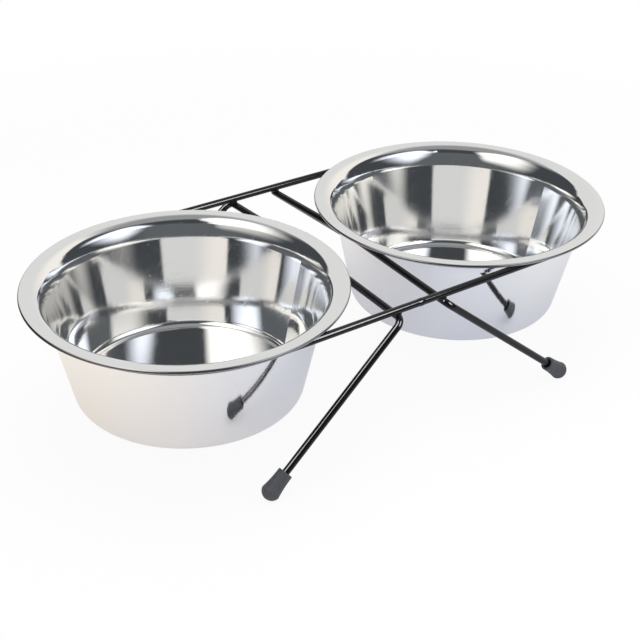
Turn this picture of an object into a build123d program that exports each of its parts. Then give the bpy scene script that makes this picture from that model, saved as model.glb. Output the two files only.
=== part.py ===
"""Double pet bowl: two steel bowls that hang by their rims in a wire stand on four rubber feet.

Millimetres. The origin is on the floor, midway between the bowls. +X runs from the left bowl
to the right one, -Y is the front and +Z is up.
"""
import os
from math import asin, cos, degrees, radians, sin, sqrt, tan

from build123d import *

# Bowls, deep-drawn from sheet
rim_diameter = 170.0  # over the rolled edge
rim_gap = 14.5  # between the two rims
bead_diameter = 1.9  # rolled edge
curl_sweep = 255.0  # degrees that the sheet turns in the rolled edge
flange_flat = 3.05  # level part of the rim, between the rolled edge and the shoulder
shoulder_radius = 7.5  # upper side of the bend from the rim into the neck
neck_radius = 26.0  # upper side of the gentle bend from the shoulder into the wall
neck_tilt = 29.6  # degrees from upright, where the shoulder turns into the neck
wall_taper = 12.1  # degrees from upright
bowl_depth = 62.3  # rim top to the inside of the base
base_fillet = 4.2  # inside, from the wall into the base
sheet = 0.5

# Wire stand
rim_height = 80.0  # rim top above the floor
wire_diameter = 4.0
loop_offset = 2.9  # of the loop's wire inwards from the start of the shoulder above it
seat_gap = 0.15  # between the bars and the rolled edges that hang on them
leg_wire_inset = 3.55  # of the two wires under the loop, inwards from the starts of the shoulders
corner_overhang = 4.1  # of a leg wire's corner past the bar above it
bend_radius = 5.0  # at the centre of the wire
crown_gap = 0.3  # between the bowls and the middle corner of a leg wire, before it is bent
crown_radius = 200.0  # bend at that corner
leg_slope = 38.9  # degrees above the floor
leg_toe = 4.3  # degrees that the legs spread, seen from above
weld_sink = 0.3  # depth that crossing wires are pressed into each other
nugget_radius = 2.1  # resistance weld at each crossing
butt_weld_length = 4.0  # where the loop's ends meet, halfway along the front bar
butt_weld_height = 0.15

# Rubber feet, pushed onto the ends of the leg wires
foot_length = 16.4
foot_top_diameter = 8.0
foot_base_diameter = 10.0
foot_dome = 4.0  # height of the rounded end
foot_waist = 0.3  # hollow of the flared side
foot_edge_fillet = 0.7  # between the side and the rounded end
foot_lip_fillet = 0.5
foot_floor = 4.5  # rubber below the end of the wire
foot_mouth_diameter = 5.4
foot_mouth_depth = 1.6
foot_grip_clearance = 0.05
foot_flat = 0.4  # rubber pressed flat on the floor

# Worked out from the sizes above
rim_radius = rim_diameter / 2
bead_radius = bead_diameter / 2
wire_radius = wire_diameter / 2
bowl_x = (rim_diameter + rim_gap) / 2
bead_center_radius = rim_radius - bead_radius
shoulder_center_radius = bead_center_radius - flange_flat
loop_radius = shoulder_center_radius - loop_offset
loop_height = rim_height - bead_diameter - seat_gap - wire_radius
leg_wire_x = bowl_x - shoulder_center_radius + leg_wire_inset
leg_wire_height = loop_height - wire_diameter + weld_sink
crown_reach = shoulder_radius - sheet - crown_gap - wire_radius
crown_height = rim_height - shoulder_radius + sqrt(crown_reach**2 - leg_wire_inset**2)
cross_climb = (crown_height - leg_wire_height) / loop_radius
corner_y = loop_radius + corner_overhang
corner_height = leg_wire_height - corner_overhang * cross_climb
foot_base_radius = foot_base_diameter / 2
foot_dome_radius = (foot_base_radius**2 + foot_dome**2) / (2 * foot_dome)
foot_end_height = foot_dome_radius * (1 - sin(radians(leg_slope))) - foot_flat
leg_length = (corner_height - foot_end_height) / sin(radians(leg_slope))


def leg_direction(side_x, side_y):
    """Unit vector up one leg, from its foot to its corner."""
    level = cos(radians(leg_slope))
    return Vector(
        -side_x * level * cos(radians(leg_toe)),
        -side_y * level * sin(radians(leg_toe)),
        sin(radians(leg_slope)),
    )


def leg_corner(side_x, side_y):
    """Sharp corner of a leg wire, before it is bent to its radius."""
    return Vector(side_x * leg_wire_x, side_y * corner_y, corner_height)


def foot_end(side_x, side_y):
    """Lower end of a foot, on the leg's axis."""
    return leg_corner(side_x, side_y) - leg_direction(side_x, side_y) * leg_length


def make_bowl(label, center_x):
    """Bowl turned from the section of its sheet: base, wall, neck, shoulder, level rim, rolled edge."""
    axis = Axis((center_x, 0, 0), (0, 0, 1))
    base_height = rim_height - bowl_depth
    neck_top_radius = shoulder_center_radius - shoulder_radius * cos(radians(neck_tilt))
    neck_top_height = rim_height - shoulder_radius * (1 - sin(radians(neck_tilt)))
    wall_top_radius = neck_top_radius - neck_radius * (cos(radians(wall_taper)) - cos(radians(neck_tilt)))
    wall_top_height = neck_top_height - neck_radius * (sin(radians(neck_tilt)) - sin(radians(wall_taper)))
    wall_base_radius = wall_top_radius - (wall_top_height - base_height) * tan(radians(wall_taper))
    with BuildPart() as bowl:
        with BuildSketch(Plane.XZ.move(Location((center_x, 0, 0)))):
            with BuildLine():
                wall = FilletPolyline(
                    (0, base_height),
                    (wall_base_radius, base_height),
                    (wall_top_radius, wall_top_height),
                    radius=base_fillet,
                )
                neck = JernArc(wall @ 1, wall % 1, neck_radius, wall_taper - neck_tilt)
                shoulder = JernArc(neck @ 1, neck % 1, shoulder_radius, neck_tilt - 90)
                Line(shoulder @ 1, (bead_center_radius, rim_height))
                CenterArc((bead_center_radius, rim_height - bead_radius), bead_radius, 90, -curl_sweep)
                offset(amount=sheet, side=Side.RIGHT)
            make_face()
        revolve(axis=axis)
    bowl.part.label = label
    return bowl.part


def make_loop():
    """Closed wire loop: two straight bars and two round ends that run under the rims."""
    with BuildPart() as loop:
        with BuildLine(Plane.XY.offset(loop_height)) as route:
            Line((0, -loop_radius), (bowl_x, -loop_radius))
            CenterArc((bowl_x, 0), loop_radius, -90, 180)
            Line((bowl_x, loop_radius), (-bowl_x, loop_radius))
            CenterArc((-bowl_x, 0), loop_radius, 90, 180)
            Line((-bowl_x, -loop_radius), (0, -loop_radius))
        bar_center = (0, -loop_radius, loop_height)
        with BuildSketch(Plane(bar_center, z_dir=(1, 0, 0))):
            Circle(wire_radius)
        sweep(path=route.wire())
        # Upset of the butt weld that closes the loop
        with BuildSketch(Plane(bar_center, x_dir=(1, 0, 0), z_dir=(0, -1, 0))):
            with BuildLine():
                half_weld = butt_weld_length / 2
                ThreePointArc(
                    (-half_weld, wire_radius),
                    (0, wire_radius + butt_weld_height),
                    (half_weld, wire_radius),
                )
                Polyline((half_weld, wire_radius), (half_weld, 0), (-half_weld, 0), (-half_weld, wire_radius))
            make_face()
        revolve(axis=Axis(bar_center, (1, 0, 0)))
    loop.part.label = "frame_loop"
    return loop.part


def make_leg_wire(label, side_x, loop):
    """One bent wire: front leg, cross piece under both bars, rear leg. It is welded to the loop.

    The cross piece climbs from each bar to its middle, just under the bowl's shoulder.
    """
    wire_ends = [
        foot_end(side_x, side_y) + leg_direction(side_x, side_y) * foot_floor for side_y in (-1, 1)
    ]
    with BuildPart() as leg_wire:
        with BuildLine() as route:
            FilletPolyline(
                wire_ends[0],
                leg_corner(side_x, -1),
                (side_x * leg_wire_x, 0, crown_height),
                leg_corner(side_x, 1),
                wire_ends[1],
                radius=[bend_radius, crown_radius, bend_radius],
            )
        with BuildSketch(Plane(wire_ends[0], z_dir=leg_direction(side_x, -1))):
            Circle(wire_radius)
        sweep(path=route.wire())
        weld_height = (loop_height + leg_wire_height) / 2
        with Locations(*[(side_x * leg_wire_x, side_y * loop_radius, weld_height) for side_y in (-1, 1)]):
            Sphere(nugget_radius)
        add(loop, mode=Mode.SUBTRACT)
    leg_wire.part.label = label
    return leg_wire.part


def make_foot(label, side_x, side_y):
    """Flared rubber cap on a leg. Its rounded end stands on the floor and is pressed flat there."""
    end = foot_end(side_x, side_y)
    up_leg = leg_direction(side_x, side_y)
    across = up_leg.cross(Vector(0, 0, 1)).normalized()
    top_radius = foot_top_diameter / 2
    waist_radius = (foot_base_radius + top_radius) / 2 - foot_waist
    waist_height = (foot_dome + foot_length) / 2
    dome_angle = degrees(asin(foot_base_radius / foot_dome_radius))
    grip_radius = wire_radius + foot_grip_clearance
    mouth_radius = foot_mouth_diameter / 2
    with BuildPart() as foot:
        with BuildSketch(Plane(end, x_dir=across, z_dir=across.cross(up_leg))) as section:
            with BuildLine():
                Line((0, foot_floor), (0, 0))
                CenterArc((0, foot_dome_radius), foot_dome_radius, -90, dome_angle)
                ThreePointArc(
                    (foot_base_radius, foot_dome),
                    (waist_radius, waist_height),
                    (top_radius, foot_length),
                )
                Polyline(
                    (top_radius, foot_length),
                    (mouth_radius, foot_length),
                    (grip_radius, foot_length - foot_mouth_depth),
                    (grip_radius, foot_floor),
                    (0, foot_floor),
                )
            make_face()
            fillet(section.vertices().sort_by(Axis.X)[-1], radius=foot_edge_fillet)
            fillet(section.vertices().group_by(Axis.Y)[-1].sort_by(Axis.X)[-1], radius=foot_lip_fillet)
        revolve(axis=Axis(end, up_leg))
        split(bisect_by=Plane.XY, keep=Keep.TOP)
    foot.part.label = label
    return foot.part


frame_loop = make_loop()
pieces = [
    make_bowl("bowl_left", -bowl_x),
    make_bowl("bowl_right", bowl_x),
    frame_loop,
    make_leg_wire("left_leg_wire", -1, frame_loop),
    make_leg_wire("right_leg_wire", 1, frame_loop),
]
for end_name, side_y in (("front", -1), ("rear", 1)):
    for side_name, side_x in (("left", -1), ("right", 1)):
        pieces.append(make_foot(f"foot_{end_name}_{side_name}", side_x, side_y))

os.makedirs("parts", exist_ok=True)
for piece in pieces:
    export_step(piece, f"parts/{piece.label}.step")
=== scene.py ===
"""Looks of the double pet bowl: polished steel bowls, gloss black wire, rubber feet, white studio.

Metres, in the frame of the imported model: origin on the floor midway between the bowls, +Z up.
"""
from math import cos, pi, radians, sin

import bpy
from mathutils import Matrix, Vector


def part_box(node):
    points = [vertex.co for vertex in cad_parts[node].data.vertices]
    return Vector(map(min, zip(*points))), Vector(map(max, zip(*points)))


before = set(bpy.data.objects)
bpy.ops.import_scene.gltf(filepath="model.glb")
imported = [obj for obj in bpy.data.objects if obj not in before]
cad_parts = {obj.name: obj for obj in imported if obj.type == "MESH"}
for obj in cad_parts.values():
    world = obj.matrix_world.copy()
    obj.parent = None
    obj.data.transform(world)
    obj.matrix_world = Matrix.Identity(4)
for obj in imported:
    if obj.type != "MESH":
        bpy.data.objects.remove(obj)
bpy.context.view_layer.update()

scene = bpy.context.scene
scene.view_settings.view_transform = "Standard"
mirror_bounces = 24  # light goes to and fro inside the polished bowls
scene.cycles.max_bounces = mirror_bounces
scene.cycles.glossy_bounces = mirror_bounces

# Camera, fitted to the photograph
camera_azimuth = radians(-35.942)
camera_elevation = radians(30.903)
camera_roll = radians(1.164)
camera_place = Vector((-0.36414, -0.49314, 0.39305))
camera_lens = 70.0
camera_sensor = 36.0
camera_clip_start = 0.01

# Studio lamps: two softboxes, and two hot spots that only the gloss of the black wire shows.
# place is the middle of a panel, away its normal, which points away from the object, and along the
# direction of its length. panel and core are radiances.
softboxes = {
    "lamp_left": dict(
        place=(-0.427, -0.051, 0.693),
        away=(-0.811, 0.515, 0.277),
        along=(0.432, 0.208, 0.878),
        size=(1.07, 0.97),
        color=(1.0, 0.97, 0.92),
        panel=1.12,
        core=0.6,
    ),
    "lamp_right": dict(
        place=(0.198, -0.511, 0.584),
        away=(0.653, -0.753, 0.076),
        along=(-0.441, -0.297, 0.847),
        size=(0.88, 0.74),
        color=(0.87, 0.91, 1.0),
        panel=1.18,
        core=0.6,
    ),
}
hot_spots = {
    "spot_left": dict(
        place=(-0.609, 0.111, 0.953),
        away=(-0.876, -0.330, 0.352),
        along=(0.326, 0.132, 0.936),
        size=(1.34, 0.93),
        color=(1.0, 1.0, 1.0),
        panel=18.0,
        core=0.0,
    ),
    "spot_right": dict(
        place=(0.254, -0.573, 0.576),
        away=(0.290, -0.899, 0.328),
        along=(-0.493, -0.434, -0.754),
        size=(0.68, 0.43),
        color=(1.0, 1.0, 1.0),
        panel=18.0,
        core=0.0,
    ),
}
# Where each fades, as shares of the panel's size from its middle
softbox_fade = (0.25, 0.5)
spot_fade = (0.35, 0.5)
core_fade = (0.04, 0.32)
fill_radiance = 1.9
fill_radius = 0.8
fill_height = 1.3

# Studio that the steel mirrors. Azimuths are from the camera's forward direction, heights are sines
# of elevations, and a pair is where a soft edge starts and ends.
sweep_azimuth = radians(9.0)  # middle of the white paper that is swept up behind the object
sweep_side_edge = (radians(50.5), radians(56.5))  # azimuth from that middle
sweep_top_edge = (sin(radians(50.0)), sin(radians(73.0)))
paper_warming = (radians(6.0), radians(46.0))
paper_grey = (0.735, 0.735, 0.73, 1.0)
paper_warm = (0.94, 0.90, 0.85, 1.0)
room_color = (0.055, 0.060, 0.067, 1.0)
behind_side_edge = (radians(112.0), radians(150.0))  # lower room, behind the camera
behind_top_edge = (sin(radians(38.0)), sin(radians(47.0)))
behind_color = (0.113, 0.122, 0.132, 1.0)
ceiling_elevation = 75.0  # degrees
ceiling_edge = (cos(radians(42.0)), cos(radians(28.0)))  # cosine of the angle from its middle
ceiling_color = (0.30, 0.305, 0.31, 1.0)

# Floor. A share says how much of its light is its own, near the object and far from it.
floor_radius = 4.0
floor_corners = 96
floor_far = (0.25, 0.75)  # distances from the origin
floor_camera_share = (0.93, 1.0)
floor_mirrored_share = (0.60, 0.85)
floor_color = (0.90, 0.90, 0.90, 1.0)
# Painted light and shade that only the steel mirrors: the floor is painted warm on the left, as light
# from the warm lamp, cool and darker on the right, as shade lit only by the cool lamp, and dim grey
# further right
floor_cooling = (-0.20, 0.08)
floor_painted_warm_light = (1.0, 0.90, 0.80, 1.0)
floor_painted_cool_shade = (0.62, 0.65, 0.76, 1.0)
floor_greying = (0.10, 0.28)
floor_painted_dim_light = (0.84, 0.84, 0.84, 1.0)
# In the steel the white paper ends just outside the picture, on the camera's side and on the left
floor_near_edge = (-0.250, -0.220)
floor_left_edge = (-0.225, -0.195)
floor_beyond = (0.084, 0.088, 0.094, 1.0)

# Materials. Scales and densities are noise cells per metre, levels are noise values.
cloud_level = (0.3, 0.7)
steel_cloud_scale = 30.0
steel_dark = (0.92, 0.92, 0.915, 1.0)
steel_light = (0.95, 0.95, 0.945, 1.0)
steel_roughness = (0.045, 0.065)
line_density = 1500.0  # across the polishing lines
line_stretch = 3.0  # cells per radian along them
speck_scale = 700.0
speck_level = (0.68, 0.80)
wall_radius = 0.075  # turns an angle into a length along the wall
scratch_slant = 0.5
scratch_density = 1400.0
scratch_stretch = 60.0
scratch_level = (0.65, 0.72)
scratch_share = 0.4  # strength, against that of a speck
worn_roughness = 0.16
worn_height = -0.8  # against the height of the lines
rolled_start = (0.0842, 0.0847)  # radius
rolled_roughness = 0.14
# Painted dark reflection: colour of the rolled edge, darker than the polished steel, standing in for the
# dark room it mirrors
rolled_painted_dark_reflection = (0.36, 0.36, 0.37, 1.0)
coating_cloud_scale = 60.0
coating_dark = (0.004, 0.004, 0.005, 1.0)
coating_light = (0.009, 0.009, 0.010, 1.0)
coating_roughness = (0.05, 0.09)
coating_peel_scale = 700.0
rubber_cloud_scale = 250.0
rubber_dark = (0.080, 0.085, 0.094, 1.0)
rubber_light = (0.115, 0.121, 0.133, 1.0)
rubber_roughness = (0.45, 0.65)
rubber_grain_scale = 2500.0

white = (1.0, 1.0, 1.0, 1.0)
rising = (0.0, 1.0)
falling = (1.0, 0.0)


def studio_direction(azimuth, elevation):
    """Unit vector from the object. Degrees, with the azimuth from the camera's forward direction."""
    turn = camera_azimuth - radians(azimuth)
    level = cos(radians(elevation))
    return Vector((-sin(turn) * level, cos(turn) * level, sin(radians(elevation))))


def set_camera():
    back = Vector((
        sin(camera_azimuth) * cos(camera_elevation),
        -cos(camera_azimuth) * cos(camera_elevation),
        sin(camera_elevation),
    ))
    level_right = Vector((cos(camera_azimuth), sin(camera_azimuth), 0.0))
    level_up = back.cross(level_right)
    right = level_right * cos(camera_roll) + level_up * sin(camera_roll)
    up = -level_right * sin(camera_roll) + level_up * cos(camera_roll)
    turn = Matrix((right, up, back)).transposed().to_4x4()
    camera = bpy.data.objects.new("camera", bpy.data.cameras.new("camera"))
    camera.matrix_world = Matrix.Translation(camera_place) @ turn
    camera.data.lens = camera_lens
    camera.data.sensor_width = camera_sensor
    camera.data.clip_start = camera_clip_start
    scene.collection.objects.link(camera)
    scene.camera = camera


class Nodes:
    """Short way to write a node tree: a call adds a node and gives back the socket to use next."""

    def __init__(self, owner):
        owner.use_nodes = True
        self.tree = owner.node_tree
        self.tree.nodes.clear()

    def add(self, kind, inputs=None, out=0, **settings):
        node = self.tree.nodes.new(kind)
        for name, value in settings.items():
            setattr(node, name, value)
        for key, value in (inputs or {}).items():
            if isinstance(value, bpy.types.NodeSocket):
                self.tree.links.new(value, node.inputs[key])
            else:
                node.inputs[key].default_value = value
        return node.outputs[out]

    def end(self, kind, surface):
        output = self.tree.nodes.new(kind)
        self.tree.links.new(surface, output.inputs["Surface"])

    def math(self, operation, first, second=0.0, third=0.0):
        return self.add("ShaderNodeMath", {0: first, 1: second, 2: third}, operation=operation)

    def vector(self, operation, first, second, out="Vector"):
        return self.add("ShaderNodeVectorMath", {0: first, 1: second}, out=out, operation=operation)

    def dot(self, first, second):
        return self.vector("DOT_PRODUCT", first, second, out="Value")

    def length(self, vector):
        return self.vector("LENGTH", vector, (0.0, 0.0, 0.0), out="Value")

    def split(self, vector):
        node = self.tree.nodes.new("ShaderNodeSeparateXYZ")
        self.tree.links.new(vector, node.inputs[0])
        return node.outputs

    def join(self, x, y, z=0.0):
        return self.add("ShaderNodeCombineXYZ", {0: x, 1: y, 2: z})

    def remap(self, value, edge, to=rising):
        """Smooth step from the first value of to to the second, over a soft edge."""
        inputs = {"Value": value, "From Min": edge[0], "From Max": edge[1]}
        inputs.update({"To Min": to[0], "To Max": to[1]})
        return self.add("ShaderNodeMapRange", inputs, interpolation_type="SMOOTHSTEP")

    def mix_color(self, factor, first, second):
        return self.add("ShaderNodeMix", {0: factor, 6: first, 7: second}, out=2, data_type="RGBA")

    def mix_shader(self, factor, first, second):
        return self.add("ShaderNodeMixShader", {0: factor, 1: first, 2: second})

    def noise(self, vector, scale, detail):
        inputs = {"Vector": vector, "Scale": scale, "Detail": detail, "Roughness": 0.5}
        return self.add("ShaderNodeTexNoise", inputs)

    def bump(self, height, strength, distance):
        return self.add("ShaderNodeBump", {"Height": height, "Strength": strength, "Distance": distance})


def set_world():
    """White to the camera. All else sees the studio: a white sweep behind, a dark room elsewhere."""
    scene.world = bpy.data.worlds.new("studio")
    nodes = Nodes(scene.world)
    direction = nodes.add("ShaderNodeTexCoord", out="Generated")
    forward = nodes.dot(direction, studio_direction(0, 0))
    right = nodes.dot(direction, studio_direction(90, 0))
    height = nodes.dot(direction, (0.0, 0.0, 1.0))
    azimuth = nodes.math("ARCTAN2", right, forward)
    from_middle = nodes.math("ABSOLUTE", nodes.math("SUBTRACT", azimuth, sweep_azimuth))
    inside = nodes.remap(from_middle, sweep_side_edge, falling)
    below = nodes.remap(height, sweep_top_edge, falling)
    sweep = nodes.math("MULTIPLY", inside, below)
    paper = nodes.mix_color(nodes.remap(azimuth, paper_warming), paper_grey, paper_warm)
    turned_back = nodes.remap(nodes.math("ABSOLUTE", azimuth), behind_side_edge)
    lower = nodes.remap(height, behind_top_edge, falling)
    room = nodes.mix_color(nodes.math("MULTIPLY", turned_back, lower), room_color, behind_color)
    near_ceiling = nodes.dot(direction, studio_direction(0, ceiling_elevation))
    room = nodes.mix_color(nodes.remap(near_ceiling, ceiling_edge), room, ceiling_color)
    room = nodes.mix_color(sweep, room, paper)
    lit = nodes.add("ShaderNodeBackground", {"Color": room, "Strength": 1.0})
    plain = nodes.add("ShaderNodeBackground", {"Color": white, "Strength": 1.0})
    seen = nodes.add("ShaderNodeLightPath", out="Is Camera Ray")
    nodes.end("ShaderNodeOutputWorld", nodes.mix_shader(seen, lit, plain))


def add_panel(name, lamp, panel_fade):
    """Lamp with its radiance set by nodes: a panel with rounded corners that fades out, and a core."""
    away = Vector(lamp["away"]).normalized()
    along = Vector(lamp["along"])
    along = (along - away * along.dot(away)).normalized()
    turn = Matrix((along, away.cross(along), away)).transposed().to_4x4()
    light = bpy.data.lights.new(name, "AREA")
    light.shape = "RECTANGLE"
    light.size, light.size_y = lamp["size"]
    light.energy = pi * light.size * light.size_y  # a radiance of 1, which the nodes multiply
    light.color = lamp["color"]
    nodes = Nodes(light)
    place = nodes.add("ShaderNodeNewGeometry", out="Parametric")
    across = nodes.vector("SUBTRACT", place, (0.5, 0.5, 0.0))
    out = nodes.math("SQRT", nodes.length(nodes.vector("MULTIPLY", across, across)))
    panel = nodes.remap(out, panel_fade, (lamp["panel"], 0.0))
    core = nodes.remap(out, core_fade, (lamp["core"], 0.0))
    strength = nodes.math("ADD", panel, core)
    glow = nodes.add("ShaderNodeEmission", {"Color": white, "Strength": strength})
    nodes.end("ShaderNodeOutputLight", glow)
    holder = bpy.data.objects.new(name, light)
    holder.matrix_world = Matrix.Translation(Vector(lamp["place"])) @ turn
    holder.visible_camera = False
    scene.collection.objects.link(holder)
    return holder


def add_lamps():
    wires = bpy.data.collections.new("gloss_receivers")
    for name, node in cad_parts.items():
        if not name.startswith(("bowl", "foot")):
            wires.objects.link(node)
    for name, lamp in softboxes.items():
        add_panel(name, lamp, softbox_fade)
    for name, lamp in hot_spots.items():
        spot = add_panel(name, lamp, spot_fade)
        spot.visible_diffuse = False
        spot.light_linking.receiver_collection = wires
    # Overhead fill for the floor and the feet, not mirrored in the steel
    fill = bpy.data.lights.new("lamp_fill", "AREA")
    fill.shape = "DISK"
    fill.size = 2 * fill_radius
    fill.energy = fill_radiance * pi * (pi * fill_radius * fill_radius)
    holder = bpy.data.objects.new("lamp_fill", fill)
    holder.location = (0.0, 0.0, fill_height)
    holder.visible_camera = False
    holder.visible_glossy = False
    scene.collection.objects.link(holder)


def floor_material():
    """White paper. Seen directly it is nearly self-lit, with a soft shadow near the object."""
    material = bpy.data.materials.new("floor_white")
    nodes = Nodes(material)
    position = nodes.add("ShaderNodeNewGeometry", out="Position")
    forward = nodes.dot(position, studio_direction(0, 0))
    right = nodes.dot(position, studio_direction(90, 0))
    far = nodes.remap(nodes.length(position), floor_far)
    path = nodes.tree.nodes.new("ShaderNodeLightPath").outputs
    mirrored = nodes.math("MAXIMUM", path["Is Glossy Ray"], path["Is Transmission Ray"])
    seen_share = nodes.remap(far, rising, floor_camera_share)
    seen_share = nodes.math("MULTIPLY", seen_share, path["Is Camera Ray"])
    mirrored_share = nodes.remap(far, rising, floor_mirrored_share)
    mirrored_share = nodes.math("MULTIPLY", mirrored_share, mirrored)
    # Painted lamp light and shade, seen only in mirrored rays: warm, then cool, then grey from left to
    # right
    tint = nodes.mix_color(nodes.remap(right, floor_cooling), floor_painted_warm_light, floor_painted_cool_shade)
    tint = nodes.mix_color(nodes.remap(right, floor_greying), tint, floor_painted_dim_light)
    tint = nodes.mix_color(mirrored, white, tint)
    paint = nodes.add("ShaderNodeBsdfDiffuse", {"Color": floor_color})
    glow = nodes.add("ShaderNodeEmission", {"Color": tint, "Strength": 1.0})
    paper = nodes.mix_shader(nodes.math("MAXIMUM", seen_share, mirrored_share), paint, glow)
    past_near_edge = nodes.remap(forward, floor_near_edge)
    past_left_edge = nodes.remap(right, floor_left_edge)
    on_paper = nodes.math("MULTIPLY", past_near_edge, past_left_edge)
    beyond = nodes.math("MULTIPLY", mirrored, nodes.math("SUBTRACT", 1.0, on_paper))
    dark = nodes.add("ShaderNodeEmission", {"Color": floor_beyond, "Strength": 1.0})
    nodes.end("ShaderNodeOutputMaterial", nodes.mix_shader(beyond, paper, dark))
    return material


def add_floor():
    corners = []
    for i in range(floor_corners):
        angle = 2 * pi * i / floor_corners
        corners.append((floor_radius * cos(angle), floor_radius * sin(angle), 0.0))
    mesh = bpy.data.meshes.new("floor")
    mesh.from_pydata(corners, [], [tuple(range(floor_corners))])
    mesh.materials.append(floor_material())
    floor = bpy.data.objects.new("floor", mesh)
    scene.collection.objects.link(floor)


def finish_material(nodes, inputs):
    nodes.end("ShaderNodeOutputMaterial", nodes.add("ShaderNodeBsdfPrincipled", inputs))


def steel_material(name, center):
    """Polished drawn steel: fine lines round the bowl's axis, faint specks and scratches from use."""
    material = bpy.data.materials.new(name)
    nodes = Nodes(material)
    place = nodes.add("ShaderNodeTexCoord", out="Object")
    place = nodes.vector("SUBTRACT", place, (center.x, center.y, 0.0))
    x, y, z = nodes.split(place)
    radius = nodes.length(nodes.join(x, y))
    angle = nodes.math("ARCTAN2", y, x)
    turned = nodes.join(
        nodes.math("MULTIPLY", radius, line_density),
        nodes.math("MULTIPLY", z, line_density),
        nodes.math("MULTIPLY", angle, line_stretch),
    )
    lines = nodes.noise(turned, 1.0, detail=3.0)
    clouds = nodes.noise(place, steel_cloud_scale, detail=3.0)
    specks = nodes.remap(nodes.noise(place, speck_scale, detail=1.0), speck_level)
    # Scratches cross the lines at a slant
    run = nodes.math("MULTIPLY", angle, wall_radius)
    over = nodes.math("MULTIPLY_ADD", z, scratch_slant, run)
    along = nodes.math("MULTIPLY_ADD", run, -scratch_slant, z)
    slanted = nodes.join(
        nodes.math("MULTIPLY", over, scratch_density),
        nodes.math("MULTIPLY", along, scratch_stretch),
        nodes.math("MULTIPLY", radius, scratch_stretch),
    )
    scratches = nodes.remap(nodes.noise(slanted, 1.0, detail=1.0), scratch_level)
    worn = nodes.math("MAXIMUM", specks, nodes.math("MULTIPLY", scratches, scratch_share))
    # The rolled edge is not polished, so it is duller; its colour is also painted darker, as a painted
    # dark reflection of the room
    rolled_dull_and_painted_dark = nodes.remap(radius, rolled_start)
    roughness = nodes.remap(clouds, cloud_level, steel_roughness)
    roughness = nodes.math("MULTIPLY_ADD", rolled_dull_and_painted_dark, rolled_roughness, roughness)
    roughness = nodes.math("MULTIPLY_ADD", worn, worn_roughness, roughness)
    tint = nodes.mix_color(clouds, steel_dark, steel_light)
    height = nodes.math("MULTIPLY_ADD", worn, worn_height, lines)
    finish_material(nodes, {
        # Base colour darkened at the rolled edge: painted dark reflection
        "Base Color": nodes.mix_color(rolled_dull_and_painted_dark, tint, rolled_painted_dark_reflection),
        "Metallic": 1.0,
        "Roughness": roughness,
        "Anisotropic": 0.75,
        "Anisotropic Rotation": 0.25,
        "Tangent": nodes.add("ShaderNodeTangent", direction_type="RADIAL", axis="Z"),
        "Normal": nodes.bump(height, strength=0.03, distance=0.0002),
    })
    return material


def coating_material():
    """Gloss black coating on the wire, with a faint orange peel."""
    material = bpy.data.materials.new("wire_coating")
    nodes = Nodes(material)
    place = nodes.add("ShaderNodeTexCoord", out="Object")
    peel = nodes.noise(place, coating_peel_scale, detail=2.0)
    clouds = nodes.noise(place, coating_cloud_scale, detail=3.0)
    finish_material(nodes, {
        "Base Color": nodes.mix_color(clouds, coating_dark, coating_light),
        "Roughness": nodes.remap(clouds, cloud_level, coating_roughness),
        "IOR": 1.4,
        "Normal": nodes.bump(peel, strength=0.05, distance=0.0003),
    })
    return material


def rubber_material():
    """Matt dark rubber with a fine grain."""
    material = bpy.data.materials.new("foot_rubber")
    nodes = Nodes(material)
    place = nodes.add("ShaderNodeTexCoord", out="Object")
    grain = nodes.noise(place, rubber_grain_scale, detail=3.0)
    clouds = nodes.noise(place, rubber_cloud_scale, detail=3.0)
    finish_material(nodes, {
        "Base Color": nodes.mix_color(clouds, rubber_dark, rubber_light),
        "Roughness": nodes.remap(grain, cloud_level, rubber_roughness),
        "Normal": nodes.bump(grain, strength=0.25, distance=0.0002),
    })
    return material


def box_center(node):
    low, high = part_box(node)
    return (Vector(low) + Vector(high)) / 2


def paint_nodes():
    coating = coating_material()
    rubber = rubber_material()
    for name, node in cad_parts.items():
        if name.startswith("bowl"):
            material = steel_material(name + "_steel", box_center(name))
        elif name.startswith("foot"):
            material = rubber
        else:
            material = coating
        node.data.materials.clear()
        node.data.materials.append(material)


set_camera()
set_world()
add_lamps()
add_floor()
paint_nodes()
